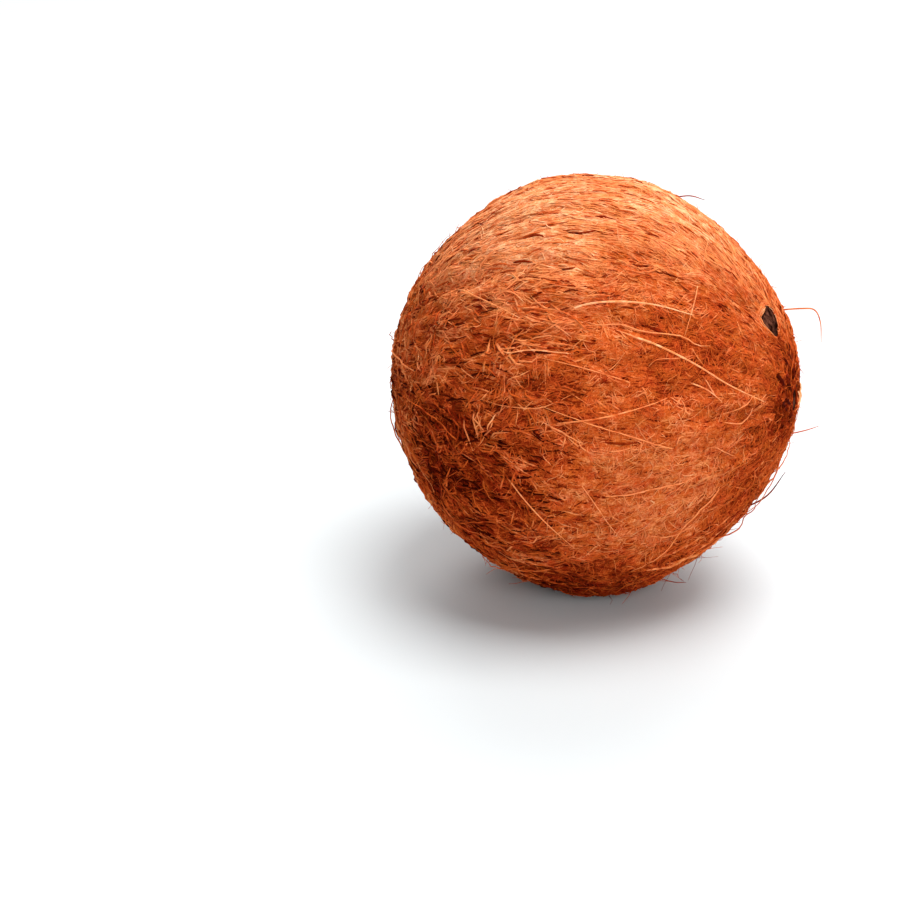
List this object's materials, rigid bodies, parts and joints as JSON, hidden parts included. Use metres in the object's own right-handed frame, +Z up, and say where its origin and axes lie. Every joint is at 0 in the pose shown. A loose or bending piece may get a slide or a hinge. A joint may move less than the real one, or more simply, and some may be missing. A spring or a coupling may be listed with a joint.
{
  "type": "coconut",
  "caption": "Whole brown husked coconut lying on its side on a small flat spot: fibrous egg form with low lobes, lengthwise ridges, eyes at one end and loose coir strands.",
  "frame": {"origin": "on the flat spot that the nut rests on, straight below the middle of the nut", "axes": "+Z up, +X horizontally along the nut towards its eye end, which droops 2.5 degrees, +Y to the left of that"},
  "size_m": [0.1249, 0.1242, 0.1185],
  "materials": {
    "coir_mat": "matted orange-brown coir fibre, matte, with darker gaps between the strands and paler loose strands; the eyes are dark brown"
  },
  "bodies": {
    "root": {"coconut": "coir_mat"}
  },
  "joints": []
}
